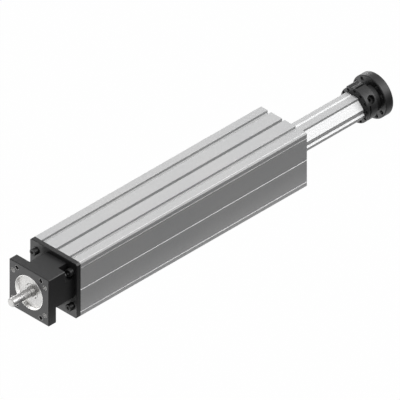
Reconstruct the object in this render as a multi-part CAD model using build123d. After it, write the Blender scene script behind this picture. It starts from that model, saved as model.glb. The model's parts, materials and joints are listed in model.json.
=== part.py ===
"""Ball screw linear module: a square frame with a feed bar that slides out of one end.

Frame of the model: origin on the screw axis at the front face of the drive housing,
+X along the module towards the adapter, +Z up, millimetres.
"""

import math
import os

from build123d import *

os.makedirs("parts", exist_ok=True)

# Frame profile
FRAME_SIZE = 70.0
FRAME_LENGTH = 336.4
FRAME_EDGE = 1.9
SIDE_WALL = 9.0
FLOOR_WALL = 5.0
CORNER_BLOCK_WIDTH = 13.0
CORNER_BLOCK_HEIGHT = 17.0
SIDE_SLOT_INSET = 14.2
SIDE_SLOT_WIDTH = 5.2
SIDE_SLOT_WALL = 2.8
SIDE_SLOT_BEVEL = 1.2
MID_SLOT_WIDTH = 3.7
MID_SLOT_DEPTH = 4.2
SHELF_DROP = 4.0
SHELF_MARGIN = 1.2
RIB_DROP = 2.5
RIB_MARGIN = 4.0
LINE_GROOVE_INSET = 6.9
LINE_GROOVE_DEPTH = 0.5
CHAMBER_WIDTH = 3.4
CHAMBER_HEIGHT = 12.0
CHAMBER_PLACE = 9.5
BOTTOM_HOLE_PITCH = 240.0
BOTTOM_HOLE_INSET = 4.0
BOTTOM_HOLE_DEPTH = 9.0
BOTTOM_HOLE_BORE = 5.0

# End plate and drive housing
END_PLATE_THICKNESS = 5.6
HOUSING_SIZE = 59.0
HOUSING_LENGTH = 36.4
HOUSING_EDGE = 0.7
END_PLATE_EDGE = 0.5
FLANGE_THICKNESS = 10.8
POCKET_SIZE = 19.8
POCKET_RADIUS = 8.0
HEAD_POCKET_CLEARANCE = 7.0
HEAD_POCKET_RADIUS = 5.0
HEAD_POCKET_LENGTH = 12.4
FLANGE_HOLE_NARROW = 35.4
FLANGE_HOLE_WIDE = 47.2
FLANGE_HOLE_BORE = 5.0
FLANGE_HOLE_DEPTH = 9.0
CORNER_SCREW_INSET_Y = 8.5
CORNER_SCREW_INSET_Z = 12.5
CORNER_SCREW = 5.0
CORNER_SCREW_HEAD = 8.5
CORNER_SCREW_KEY = 4.0
CORNER_SCREW_DEPTH = 16.0
HOUSING_SCREW_CIRCLE = 44.0
HOUSING_SCREW_LENGTH = 14.0

# Pilot recess, bearings and seal
PILOT_BORE = 39.5
PILOT_DEPTH = 4.0
COVER_RIM = 0.5
COVER_FLOOR = 2.5
BEARING_OUTSIDE = 28.0
BEARING_BORE = 12.0
BEARING_WIDTH = 8.0
BEARING_RING_WALL = 2.4
BEARING_BALL = 4.5
BEARING_BALL_COUNT = 6
BEARING_SHOULDER = 2.5
SEAL_OUTSIDE = 26.0
SEAL_WIDTH = 5.0

# Ball screw
SCREW_DIAMETER = 16.0
SCREW_LEAD = 16.0
SCREW_SHOULDER = 15.4
SHAFT_DIAMETER = 10.0
SHAFT_REACH = 27.0
SHAFT_STEP_REACH = 1.0
SHAFT_EDGE = 0.8
SCREW_TAIL = 12.0
SCREW_TAIL_LENGTH = 12.0
THREAD_INSET = 4.0
SCREW_END_GAP = 36.4
TRACK_RUN_IN = 8.0
BALL_DIAMETER = 3.0
BALL_CIRCLE = 16.9
BALLS_IN_TURN = 9
LOCK_NUT_DIAMETER = 17.6
LOCK_NUT_WIDTH = 2.7
LOCK_NUT_NOTCH = 2.4
LOCK_NUT_NOTCH_DEPTH = 1.62
END_BUSH_WIDTH = 9.0
END_RING_WALL = 1.5
END_RING_WIDTH = 1.2

# Nut, carrier and runner
NUT_START = 150.0
NUT_LENGTH = 38.0
NUT_DIAMETER = 25.0
NUT_BORE = 17.2
NUT_FLANGE_DIAMETER = 38.4
NUT_FLANGE_WIDTH = 8.0
NUT_SCREW_CIRCLE = 31.0
NUT_SCREW_LENGTH = 16.0
NUT_SEAL_WIDTH = 2.5
NUT_SEAL_DIAMETER = 22.0
NUT_TRACK_MARGIN = 1.5
NUT_END_GAP = 1.0
RETURN_CAP_PLACE = 22.8
RETURN_CAP_LENGTH = 14.0
RETURN_CAP_WIDTH = 6.0
CARRIER_LENGTH = 48.0
CARRIER_BASE_HEIGHT = 5.0
CARRIER_TOP = 16.0
CARRIER_HEAD_LENGTH = 14.0
CARRIER_HEAD_INSET = 1.0
CARRIER_HEAD_TOP = 20.0
BAR_SOCKET_DEPTH = 12.0
RAIL_WIDTH = 12.0
RAIL_HEIGHT = 8.0
RAIL_INSET = 4.0
RAIL_END_GAP = 0.9
RAIL_TRACK = 4.0
RAIL_TRACK_DROP = 3.2
RAIL_SCREW_PITCH = 68.0
RAIL_SCREW_MARGIN = 10.0
RAIL_SCREW_SINK = 3.5
RAIL_SCREW_REACH = 4.0
RUNNER_HEIGHT = 10.0
RUNNER_LENGTH = 46.0
RUNNER_INSET = 2.0
RUNNER_SIDE_GAP = 1.0
RUNNER_FLOOR_GAP = 3.0
RUNNER_CAP_LENGTH = 5.0
RUNNER_CAP_INSET = 8.0
RUNNER_SCREW_INSET = 2.8
RUNNER_SCREW_MARGIN = 4.0
RUNNER_SCREW_PITCH = 14.0
RUNNER_SCREW_REACH = 6.0

# Feed bar, its guide and the adapter
BAR_REACH = 105.6
BAR_BORE = 18.4
SLANT_TOP = (-5.7, 9.2)
SLANT_FOOT = (-13.5, 1.4)
BAR_STEP = 2.7
BAR_SIDE = 4.7
BAR_GROOVE = 1.35
BAR_GROOVE_Y = 4.25
KEEL = (15.2, 8.2)
KEEL_BEVEL = 3.6
KEEL_START = 5.0
GUIDE_LENGTH = 17.0
WIPER_WIDTH = 4.0
WIPER_PLATE = 1.5
GUIDE_OUTSIDE = 40.0
COVER_RECESS = 3.0
COVER_SCREW_LENGTH = 12.0
COVER_SCREW_PLACE = 10.0
WIPER_PLATE_SIDE_GAP = 1.0
WIPER_PLATE_OVERHANG = 2.0
WIPER_PLATE_CORNER_GAP = 0.4
WIPER_SCREW_INSET_Y = 2.0
WIPER_SCREW_INSET_Z = 3.0
WIPER_SCREW_REACH = 7.0
WIPER_SCREW_HEAD_HEIGHT = 1.65
HUB_DIAMETER = 41.4
HUB_LENGTH = 19.0
HUB_EDGE = 0.5
HUB_HOLE_CIRCLE = 37.3
HUB_HOLE_BORE = 2.0
HUB_HOLE_COUNT = 12
HUB_HOLE_DEPTH = 3.5
HUB_SEAT = 16.0
HUB_SCREW_PLACE = 8.36
NECK_DIAMETER = 34.0
NECK_LENGTH = 3.0
DISC_DIAMETER = 51.0
DISC_THICKNESS = 11.0
DISC_EDGE = 0.8
DISC_HOLE_CIRCLE = 42.5
DISC_HOLE_BORE = 5.0
SET_SCREW = 8.0
SET_SCREW_LENGTH = 6.0
SET_SCREW_KEY = 4.0
BOLT_HEAD = 13.0
BOLT_HEAD_HEIGHT = 8.0
BOLT_HEAD_GAP = 0.5
BOLT_HEAD_SINK = 0.5
BOLT_END_GAP = 3.0
BOLT_KEY = 6.0
PLUG_LENGTH = 18.0
PLUG_FLOOR = 2.0
BUFFER_WIDTH = 12.0
BUFFER_OUTSIDE = 38.0

# Screws of the inner pieces
SMALL_SCREW = 3.0
SMALL_SCREW_HEAD = 5.5
SMALL_SCREW_KEY = 2.5
NUT_SCREW = 4.0
NUT_SCREW_HEAD = 7.0
NUT_SCREW_KEY = 3.0
FLAT_SCREW = 5.0
FLAT_SCREW_KEY = 3.0
BAR_SET_SCREW = 6.0
BAR_SET_SCREW_KEY = 3.0
BAR_SET_SCREW_SINK = 0.5
BAR_SET_SCREW_Y = (8.2, -1.6)

# How a cylinder or cone lies on its own Z
CENTRED_UP = (Align.CENTER, Align.CENTER, Align.MIN)
CENTRED_DOWN = (Align.CENTER, Align.CENTER, Align.MAX)

# Clearances
RUN_GAP = 0.3
GUIDE_GAP = 0.15
BALL_GAP = 0.2
BEARING_BALL_GAP = 0.15
SEAT_GAP = 0.1
HEAD_GAP = 0.25
TAP_GAP = 1.0

# Places worked out from the sizes above
HALF = FRAME_SIZE / 2
CAVITY_HALF_WIDTH = HALF - SIDE_WALL
CAVITY_HALF_HEIGHT = HALF - FLOOR_WALL
CORNER_BLOCK_INSIDE = HALF - CORNER_BLOCK_WIDTH
CORNER_BLOCK_START = HALF - CORNER_BLOCK_HEIGHT
SIDE_SLOT_PLACE = HALF - SIDE_SLOT_INSET
LINE_GROOVE_PLACE = HALF - LINE_GROOVE_INSET
BOTTOM_HOLE_Y = HALF - BOTTOM_HOLE_INSET
CORNER_SCREW_Y = HALF - CORNER_SCREW_INSET_Y
CORNER_SCREW_Z = HALF - CORNER_SCREW_INSET_Z
FRAME_START = HOUSING_LENGTH + END_PLATE_THICKNESS
FRAME_END = FRAME_START + FRAME_LENGTH
HUB_START = FRAME_END + BAR_REACH
HUB_END = HUB_START + HUB_LENGTH
DISC_START = HUB_END + NECK_LENGTH
DISC_END = DISC_START + DISC_THICKNESS
BEARING_START = PILOT_DEPTH + COVER_FLOOR
BEARING_END = BEARING_START + 2 * BEARING_WIDTH
THREAD_START = FRAME_START + THREAD_INSET
THREAD_END = FRAME_END - SCREW_END_GAP
TRACK_START = THREAD_START + TRACK_RUN_IN
TRACK_TURNS = math.floor((THREAD_END - TRACK_RUN_IN - TRACK_START) / SCREW_LEAD)
INNER_RING_OUTSIDE = BEARING_BORE + 2 * BEARING_RING_WALL
OUTER_RING_INSIDE = BEARING_OUTSIDE - 2 * BEARING_RING_WALL
NUT_END = NUT_START + NUT_LENGTH
CARRIER_START = NUT_START + NUT_FLANGE_WIDTH
CARRIER_END = CARRIER_START + CARRIER_LENGTH
HEAD_START = CARRIER_END - CARRIER_HEAD_LENGTH
RUNNER_BOTTOM = RUNNER_FLOOR_GAP - CAVITY_HALF_HEIGHT
RUNNER_TOP = RUNNER_BOTTOM + RUNNER_HEIGHT
RUNNER_START = CARRIER_START + RUNNER_INSET
RUNNER_WIDTH = 2 * (CORNER_BLOCK_INSIDE - RUNNER_SIDE_GAP)
RUNNER_SCREW_Y = RUNNER_WIDTH / 2 - RUNNER_SCREW_INSET
CARRIER_BODY_WIDTH = 2 * (RUNNER_SCREW_Y - SMALL_SCREW_HEAD / 2 - HEAD_GAP)
CARRIER_HEAD_WIDTH = RUNNER_WIDTH - 2 * CARRIER_HEAD_INSET
COVER_END = FRAME_END - COVER_RECESS - WIPER_PLATE
WIPER_START = COVER_END - WIPER_WIDTH
COVER_START = WIPER_START - GUIDE_LENGTH
WIPER_PLATE_HALF_WIDTH = CAVITY_HALF_WIDTH - WIPER_PLATE_SIDE_GAP
WIPER_PLATE_HALF_HEIGHT = CORNER_BLOCK_START + WIPER_PLATE_OVERHANG
WIPER_SCREW_Y = CORNER_BLOCK_INSIDE - WIPER_SCREW_INSET_Y
WIPER_SCREW_Z = CORNER_BLOCK_START - WIPER_SCREW_INSET_Z
RAIL_TOP = RAIL_HEIGHT - CAVITY_HALF_HEIGHT
RAIL_START = FRAME_START + RAIL_INSET
RAIL_END = COVER_START - RAIL_END_GAP
BOLT_SEAT = DISC_END - BOLT_HEAD_HEIGHT - BOLT_HEAD_SINK


def cylinder(diameter, start, end, y=0.0, z=0.0):
    """Round bar along X from start to end."""
    length = end - start
    bar = Cylinder(diameter / 2, length, align=CENTRED_UP)
    return Pos(start, y, z) * Rot(0, 90, 0) * bar


def block(start, end, width, bottom, top, y=0.0):
    """Box along X, centred on y."""
    box = Box(end - start, width, top - bottom)
    return Pos((start + end) / 2, y, (bottom + top) / 2) * box


def prism(points, start, end):
    """Polygon of (y, z) points carried along X."""
    outline = make_face(Polyline(*points, close=True))
    return extrude(Plane.YZ.offset(start) * outline, end - start)


def tube(outside, inside, start, end):
    """Round tube along X."""
    return cylinder(outside, start, end) - cylinder(inside, start, end)


def group(pieces):
    """Separate solids of one node."""
    return Compound(children=list(pieces))


def save(name, shape):
    export_step(shape, f"parts/{name}.step")


def corners(y, z):
    """The four places of a rectangle about the axis."""
    return [(sy * y, sz * z) for sy in (1, -1) for sz in (1, -1)]


def on_circle(diameter, count, first=0.0):
    """Evenly spaced (y, z) places on a circle about the axis."""
    turns = [math.radians(first + 360 * i / count) for i in range(count)]
    return [(diameter / 2 * math.cos(a), diameter / 2 * math.sin(a)) for a in turns]


def socket_screw(size, length, head, head_height, key):
    """Socket head cap screw along Z: the shank below zero, the head above."""
    shank = Cylinder(size / 2, length, align=CENTRED_DOWN)
    cap = Cylinder(head / 2, head_height, align=CENTRED_UP)
    cap = chamfer(cap.edges().sort_by(Axis.Z)[-1], head_height * 0.08)
    hexagon = extrude(Plane.XY.offset(head_height) * RegularPolygon(key / 2, 6), -head_height * 0.6)
    return shank + cap - hexagon


def flat_screw(size, length, key):
    """Countersunk screw along Z: its head is flush with zero and it goes down."""
    shank = Cylinder(size / 2, length, align=CENTRED_DOWN)
    head = Cone(size / 2, size, size / 2, align=CENTRED_DOWN)
    hexagon = extrude(Plane.XY * RegularPolygon(key / 2, 6), -size * 0.4)
    return shank + head - hexagon


def set_screw(size, length, key):
    """Headless screw along Z from zero downwards."""
    shank = Cylinder(size / 2, length, align=CENTRED_DOWN)
    hexagon = extrude(Plane.XY * RegularPolygon(key / 2, 6), -length * 0.5)
    return shank - hexagon


def flat_screw_hole(size, length):
    """Clearance for a countersunk screw, open above zero."""
    shank = Cylinder(size / 2 + SEAT_GAP, length + 1, align=CENTRED_DOWN)
    cone = Cone(size / 2, size + SEAT_GAP, size / 2 + SEAT_GAP, align=CENTRED_DOWN)
    mouth = Cylinder(size + SEAT_GAP, 1, align=CENTRED_UP)
    return shank + cone + mouth


def bar_points(grooved):
    """Outline of the feed bar, the same after half a turn about the axis."""
    top = SLANT_TOP[1] + BAR_STEP
    groove = [
        (BAR_GROOVE_Y + BAR_GROOVE, top),
        (BAR_GROOVE_Y, top - BAR_GROOVE),
        (BAR_GROOVE_Y - BAR_GROOVE, top),
    ]
    keel_y, keel_z = KEEL
    half = [(keel_y, keel_z), (keel_y - KEEL_BEVEL, keel_z + KEEL_BEVEL)]
    half += groove if grooved else []
    half += [(SLANT_TOP[0], top), SLANT_TOP, SLANT_FOOT]
    half += [(SLANT_FOOT[0], SLANT_FOOT[1] - BAR_SIDE), (-keel_y, -KEEL_START)]
    return half + [(-y, -z) for y, z in half]


def bar_solid(start, end, gap=0.0):
    """The bar's outside as a solid, grown by a gap for what surrounds it."""
    face = make_face(Polyline(*bar_points(gap == 0.0), close=True))
    if gap:
        face = offset(face, amount=gap, kind=Kind.INTERSECTION)
    return extrude(Plane.YZ.offset(start) * face, end - start)


def cavity_points():
    """Inside of the frame: a cross with room for the carrier, under the slotted top wall."""
    shelf = CAVITY_HALF_HEIGHT - SHELF_DROP
    rib = CAVITY_HALF_HEIGHT - RIB_DROP
    rib_side = MID_SLOT_WIDTH / 2 + RIB_MARGIN
    slot_side = SIDE_SLOT_PLACE - SIDE_SLOT_WIDTH / 2 - SHELF_MARGIN
    right = [
        (rib_side, rib),
        (rib_side, CAVITY_HALF_HEIGHT),
        (slot_side, CAVITY_HALF_HEIGHT),
        (slot_side, shelf),
        (CORNER_BLOCK_INSIDE, shelf),
        (CORNER_BLOCK_INSIDE, CORNER_BLOCK_START),
        (CAVITY_HALF_WIDTH, CORNER_BLOCK_START),
        (CAVITY_HALF_WIDTH, -CORNER_BLOCK_START),
        (CORNER_BLOCK_INSIDE, -CORNER_BLOCK_START),
        (CORNER_BLOCK_INSIDE, -CAVITY_HALF_HEIGHT),
    ]
    return right + [(-y, z) for y, z in reversed(right)]


def side_slot_points(place):
    """Slot in the top face with straight walls and a bevelled bottom."""
    half = SIDE_SLOT_WIDTH / 2
    wall = HALF - SIDE_SLOT_WALL
    bottom = wall - SIDE_SLOT_BEVEL
    flat = half - SIDE_SLOT_BEVEL
    left = [(-half, HALF + 1), (-half, wall), (-flat, bottom)]
    right = [(-y, z) for y, z in reversed(left)]
    return [(place + y, z) for y, z in left + right]


def ball_track(first_turn, turns):
    """Helical ball track: a circle carried along a stretch of the one helix that all share."""
    path = Helix(pitch=SCREW_LEAD, height=turns * SCREW_LEAD, radius=BALL_CIRCLE / 2)
    section = Plane(origin=path @ 0, z_dir=path % 0) * Circle(BALL_DIAMETER / 2 + BALL_GAP)
    track = sweep(section, path=path, is_frenet=True)
    turned = Rot(0, 90, 0) * Rot(0, 0, 360 * first_turn) * track
    return Pos(TRACK_START + first_turn * SCREW_LEAD, 0, 0) * turned


def ball_place(distance):
    """Centre of a ball that lies on the helix at a distance along X from the track's start."""
    angle = 2 * math.pi * distance / SCREW_LEAD
    radius = BALL_CIRCLE / 2
    return (TRACK_START + distance, radius * math.sin(angle), -radius * math.cos(angle))


def frame_profile():
    body = block(FRAME_START, FRAME_END, FRAME_SIZE, -HALF, HALF)
    body = chamfer(body.edges().filter_by(Axis.X), FRAME_EDGE)
    body -= prism(cavity_points(), FRAME_START, FRAME_END)
    for place in (SIDE_SLOT_PLACE, -SIDE_SLOT_PLACE):
        body -= prism(side_slot_points(place), FRAME_START, FRAME_END)
    body -= block(FRAME_START, FRAME_END, MID_SLOT_WIDTH, HALF - MID_SLOT_DEPTH, HALF + 1)
    for side in (1, -1):
        for place in (LINE_GROOVE_PLACE, 0.0, -LINE_GROOVE_PLACE):
            depth = LINE_GROOVE_DEPTH
            mouth = [(side * HALF, place + depth), (side * HALF, place - depth)]
            body -= prism(mouth + [(side * (HALF - depth), place)], FRAME_START, FRAME_END)
    middle = (CAVITY_HALF_WIDTH + HALF) / 2
    for y, z in corners(middle, CHAMBER_PLACE):
        bottom = z - CHAMBER_HEIGHT / 2
        body -= block(FRAME_START, FRAME_END, CHAMBER_WIDTH, bottom, bottom + CHAMBER_HEIGHT, y)
    for y, z in corners(CORNER_SCREW_Y, CORNER_SCREW_Z):
        body -= cylinder(CORNER_SCREW, FRAME_START, FRAME_END, y, z)
    bottom_hole = Cylinder(BOTTOM_HOLE_BORE / 2, BOTTOM_HOLE_DEPTH, align=CENTRED_UP)
    for x, y in bottom_hole_places():
        body -= Pos(x, y, -HALF) * bottom_hole
    for x in rail_screw_places():
        hole = Cylinder(SMALL_SCREW / 2, RAIL_SCREW_REACH, align=CENTRED_DOWN)
        body -= Pos(x, 0, -CAVITY_HALF_HEIGHT) * hole
    for place in cover_screw_places():
        body -= place * flat_screw_hole(FLAT_SCREW, COVER_SCREW_LENGTH)
    return body


def bottom_hole_places():
    """Tapped holes under the frame that fasten the module to a base."""
    middle = (FRAME_START + FRAME_END) / 2
    return [
        (middle + sx * BOTTOM_HOLE_PITCH / 2, sy * BOTTOM_HOLE_Y) for sx in (1, -1) for sy in (1, -1)
    ]


def rail_screw_places():
    steps = math.floor((RAIL_END - RAIL_START - 2 * RAIL_SCREW_MARGIN) / RAIL_SCREW_PITCH)
    first = (RAIL_START + RAIL_END - steps * RAIL_SCREW_PITCH) / 2
    return [first + i * RAIL_SCREW_PITCH for i in range(steps + 1)]


def cover_screw_places():
    """Countersunk screws that hold the front cover, from below and from the far side."""
    x = (COVER_START + COVER_END) / 2
    sides = (COVER_SCREW_PLACE, -COVER_SCREW_PLACE)
    below = [Pos(x, y, -HALF) * Rot(180, 0, 0) for y in sides]
    beside = [Pos(x, HALF, z) * Rot(-90, 0, 0) for z in sides]
    return below + beside


def end_plate():
    plate = block(HOUSING_LENGTH, FRAME_START, FRAME_SIZE, -HALF, HALF)
    plate = chamfer(plate.edges().filter_by(Axis.X), FRAME_EDGE)
    plate = chamfer(plate.faces().sort_by(Axis.X)[0].edges(), END_PLATE_EDGE)
    plate -= cylinder(SCREW_SHOULDER + 4 * RUN_GAP, HOUSING_LENGTH, FRAME_START)
    for y, z in corners(CORNER_SCREW_Y, CORNER_SCREW_Z):
        plate -= cylinder(CORNER_SCREW + 2 * SEAT_GAP, HOUSING_LENGTH, FRAME_START, y, z)
    for y, z in on_circle(HOUSING_SCREW_CIRCLE, 4):
        plate -= Pos(FRAME_START, y, z) * Rot(0, 90, 0) * flat_screw_hole(FLAT_SCREW, HOUSING_SCREW_LENGTH)
    return plate


def corner_cutter(side_y, side_z, inner_y, inner_z, radius, start, end):
    """Corner pocket outside the inner lines, with a rounded inner edge."""
    far = HOUSING_SIZE
    turn = radius * (1 - math.sqrt(0.5))
    a = (side_y * inner_y, side_z * (inner_z + radius))
    b = (side_y * (inner_y + turn), side_z * (inner_z + turn))
    c = (side_y * (inner_y + radius), side_z * inner_z)
    lines = Line((side_y * inner_y, side_z * far), a) + ThreePointArc(a, b, c)
    outside = [(side_y * far, side_z * inner_z), (side_y * far, side_z * far), (side_y * inner_y, side_z * far)]
    lines += Polyline(c, *outside)
    return extrude(Plane.YZ.offset(start) * make_face(lines), end - start)


def drive_housing():
    half = HOUSING_SIZE / 2
    body = block(0, HOUSING_LENGTH, HOUSING_SIZE, -half, half)
    body = chamfer(body.edges().filter_by(Axis.X), HOUSING_EDGE)
    body = chamfer(body.faces().sort_by(Axis.X)[0].edges(), HOUSING_EDGE)
    inner = half - POCKET_SIZE
    head_y = CORNER_SCREW_Y - HEAD_POCKET_CLEARANCE
    head_z = CORNER_SCREW_Z - HEAD_POCKET_CLEARANCE
    start = HOUSING_LENGTH - HEAD_POCKET_LENGTH
    for side in (1, -1):
        body -= corner_cutter(side, side, inner, inner, POCKET_RADIUS, FLANGE_THICKNESS, HOUSING_LENGTH)
        body -= corner_cutter(side, -side, head_y, head_z, HEAD_POCKET_RADIUS, start, HOUSING_LENGTH)
    body -= cylinder(PILOT_BORE + 2 * COVER_RIM, 0, BEARING_START)
    body -= cylinder(BEARING_OUTSIDE, BEARING_START, BEARING_END)
    body -= cylinder(BEARING_OUTSIDE - 2 * BEARING_RING_WALL, BEARING_END, HOUSING_LENGTH)
    seal_start = BEARING_END + BEARING_SHOULDER
    body -= cylinder(SEAL_OUTSIDE, seal_start, HOUSING_LENGTH)
    for y, z in flange_hole_places():
        body -= cylinder(FLANGE_HOLE_BORE, 0, FLANGE_HOLE_DEPTH, y, z)
    tap_start = FRAME_START - HOUSING_SCREW_LENGTH - TAP_GAP
    for y, z in on_circle(HOUSING_SCREW_CIRCLE, 4):
        body -= cylinder(FLAT_SCREW, tap_start, HOUSING_LENGTH, y, z)
    return body


def flange_hole_places():
    """Eight holes of the motor flange: one rectangle upright and one lying."""
    narrow = FLANGE_HOLE_NARROW / 2
    wide = FLANGE_HOLE_WIDE / 2
    return corners(narrow, wide) + corners(wide, narrow)


def bearing_cover():
    """Bright turned cup that forms the pilot recess and clamps the bearings."""
    outside = PILOT_BORE + 2 * COVER_RIM
    cup = cylinder(outside, 0, BEARING_START) - cylinder(PILOT_BORE, 0, PILOT_DEPTH)
    return cup - cylinder(LOCK_NUT_DIAMETER + 2 * RUN_GAP, PILOT_DEPTH, BEARING_START)


def bearing_middles():
    return [BEARING_START + BEARING_WIDTH * (i + 0.5) for i in range(2)]


def bearing_pitch():
    return (BEARING_OUTSIDE + BEARING_BORE) / 2


def race(middle):
    """Ring-shaped ball track of one bearing."""
    section = Torus(bearing_pitch() / 2, BEARING_BALL / 2 + BEARING_BALL_GAP)
    return Pos(middle, 0, 0) * Rot(0, 90, 0) * section


def bearing_rings(outside, inside):
    rings = []
    for middle in bearing_middles():
        ring = tube(outside, inside, middle - BEARING_WIDTH / 2, middle + BEARING_WIDTH / 2)
        rings.append(ring - race(middle))
    return group(rings)


def bearing_balls():
    balls = []
    for middle in bearing_middles():
        for y, z in on_circle(bearing_pitch(), BEARING_BALL_COUNT):
            balls.append(Pos(middle, y, z) * Sphere(BEARING_BALL / 2))
    return group(balls)


def shaft_seal():
    start = BEARING_END + BEARING_SHOULDER
    return tube(SEAL_OUTSIDE, SCREW_SHOULDER + 2 * RUN_GAP, start, start + SEAL_WIDTH)


def ball_screw():
    shaft = cylinder(SHAFT_DIAMETER, -SHAFT_REACH, -SHAFT_STEP_REACH)
    shaft = chamfer(shaft.edges().sort_by(Axis.X)[0], SHAFT_EDGE)
    shaft += cylinder(BEARING_BORE, -SHAFT_STEP_REACH, BEARING_END)
    shaft += cylinder(SCREW_SHOULDER, BEARING_END, THREAD_START)
    thread = cylinder(SCREW_DIAMETER, THREAD_START, THREAD_END)
    thread -= ball_track(0, TRACK_TURNS)
    tail = cylinder(SCREW_TAIL, THREAD_END, THREAD_END + SCREW_TAIL_LENGTH)
    return shaft + thread + tail


def lock_nut():
    start = BEARING_START - LOCK_NUT_WIDTH
    nut = tube(LOCK_NUT_DIAMETER, BEARING_BORE, start, BEARING_START)
    for y, z in on_circle(LOCK_NUT_DIAMETER, 4, 45):
        nut -= cylinder(LOCK_NUT_NOTCH, start, start + LOCK_NUT_NOTCH_DEPTH, y, z)
    return nut


def screw_end_bush():
    return tube(BAR_BORE - 2 * RUN_GAP, SCREW_TAIL, THREAD_END, THREAD_END + END_BUSH_WIDTH)


def screw_end_ring():
    start = THREAD_END + END_BUSH_WIDTH
    return tube(SCREW_TAIL + 2 * END_RING_WALL, SCREW_TAIL, start, start + END_RING_WIDTH)


def ball_nut():
    flange = cylinder(NUT_FLANGE_DIAMETER, NUT_START, CARRIER_START)
    flange -= block(NUT_START, CARRIER_START, NUT_FLANGE_DIAMETER, -HALF, RAIL_TOP + RUN_GAP)
    nut = cylinder(NUT_DIAMETER, NUT_START, NUT_END) + flange
    nut -= cylinder(NUT_BORE, NUT_START, NUT_END)
    track_start = NUT_START + NUT_SEAL_WIDTH + NUT_TRACK_MARGIN
    track_end = NUT_END - NUT_SEAL_WIDTH - NUT_TRACK_MARGIN
    nut -= ball_track((track_start - TRACK_START) / SCREW_LEAD, (track_end - track_start) / SCREW_LEAD)
    for start in (NUT_START, NUT_END - NUT_SEAL_WIDTH):
        nut -= cylinder(NUT_SEAL_DIAMETER, start, start + NUT_SEAL_WIDTH)
    for y, z in on_circle(NUT_SCREW_CIRCLE, 4, 45):
        nut -= cylinder(NUT_SCREW + 2 * SEAT_GAP, NUT_START, CARRIER_START, y, z)
    return nut - return_cap(SEAT_GAP)


def return_cap(gap=0.0):
    """Ball return piece let into the top of the nut."""
    middle = NUT_START + RETURN_CAP_PLACE
    bottom = BALL_CIRCLE / 2 + BALL_DIAMETER / 2 + 2 * BALL_GAP
    half = RETURN_CAP_LENGTH / 2 + gap
    width = RETURN_CAP_WIDTH + 2 * gap
    piece = block(middle - half, middle + half, width, bottom - gap, NUT_DIAMETER / 2 + 1)
    inside = cylinder(NUT_DIAMETER, middle - half, middle + half)
    return piece & inside


def nut_balls():
    middle = NUT_START + RETURN_CAP_PLACE - TRACK_START
    step = SCREW_LEAD / (BALLS_IN_TURN + 1)
    first = middle - step * (BALLS_IN_TURN - 1) / 2
    ball = Sphere(BALL_DIAMETER / 2)
    return group(Pos(*ball_place(first + i * step)) * ball for i in range(BALLS_IN_TURN))


def nut_seals():
    inside = SCREW_DIAMETER + 2 * RUN_GAP
    starts = (NUT_START, NUT_END - NUT_SEAL_WIDTH)
    return group(tube(NUT_SEAL_DIAMETER, inside, start, start + NUT_SEAL_WIDTH) for start in starts)


def nut_screws():
    screw = socket_screw(NUT_SCREW, NUT_SCREW_LENGTH, NUT_SCREW_HEAD, NUT_SCREW, NUT_SCREW_KEY)
    places = on_circle(NUT_SCREW_CIRCLE, 4, 45)
    return group(Pos(NUT_START, y, z) * Rot(0, -90, 0) * screw for y, z in places)


def nut_carrier():
    base_top = RUNNER_TOP + CARRIER_BASE_HEIGHT
    body = block(CARRIER_START, CARRIER_END, RUNNER_WIDTH, RUNNER_TOP, base_top)
    body += block(CARRIER_START, CARRIER_END, CARRIER_BODY_WIDTH, base_top, CARRIER_TOP)
    body += block(HEAD_START, CARRIER_END, CARRIER_HEAD_WIDTH, base_top, CARRIER_HEAD_TOP)
    body -= cylinder(NUT_DIAMETER, CARRIER_START, NUT_END + NUT_END_GAP)
    body -= cylinder(BAR_BORE, CARRIER_START, CARRIER_END)
    body -= bar_solid(CARRIER_END - BAR_SOCKET_DEPTH, CARRIER_END, SEAT_GAP)
    for y, z in on_circle(NUT_SCREW_CIRCLE, 4, 45):
        body -= cylinder(NUT_SCREW, CARRIER_START, CARRIER_START + NUT_SCREW_LENGTH, y, z)
    for x, y in runner_screw_places():
        radius = SMALL_SCREW / 2 + SEAT_GAP
        hole = Cylinder(radius, CARRIER_BASE_HEIGHT, align=CENTRED_UP)
        body -= Pos(x, y, RUNNER_TOP) * hole
    for x, y in bar_set_screw_places():
        hole = Cylinder(BAR_SET_SCREW / 2, CARRIER_HEAD_TOP, align=CENTRED_UP)
        body -= Pos(x, y, 0) * hole
    return body


def runner_screw_places():
    first = RUNNER_START + RUNNER_CAP_LENGTH + RUNNER_SCREW_MARGIN
    return [(first + i * RUNNER_SCREW_PITCH, side * RUNNER_SCREW_Y) for i in (0, 1) for side in (1, -1)]


def bar_set_screw_places():
    x = CARRIER_END - BAR_SOCKET_DEPTH / 2
    return [(x, y) for y in BAR_SET_SCREW_Y]


def bar_set_screws():
    top = CARRIER_HEAD_TOP - BAR_SET_SCREW_SINK
    bottom = max(z for y, z in bar_points(False))
    screw = set_screw(BAR_SET_SCREW, top - bottom, BAR_SET_SCREW_KEY)
    return group(Pos(x, y, top) * screw for x, y in bar_set_screw_places())


def rail_points(gap=0.0):
    """Guide rail with a round ball track along each side."""
    half = RAIL_WIDTH / 2 + gap
    top = RAIL_TOP + gap
    return [(-half, -CAVITY_HALF_HEIGHT), (half, -CAVITY_HALF_HEIGHT), (half, top), (-half, top)]


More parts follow.
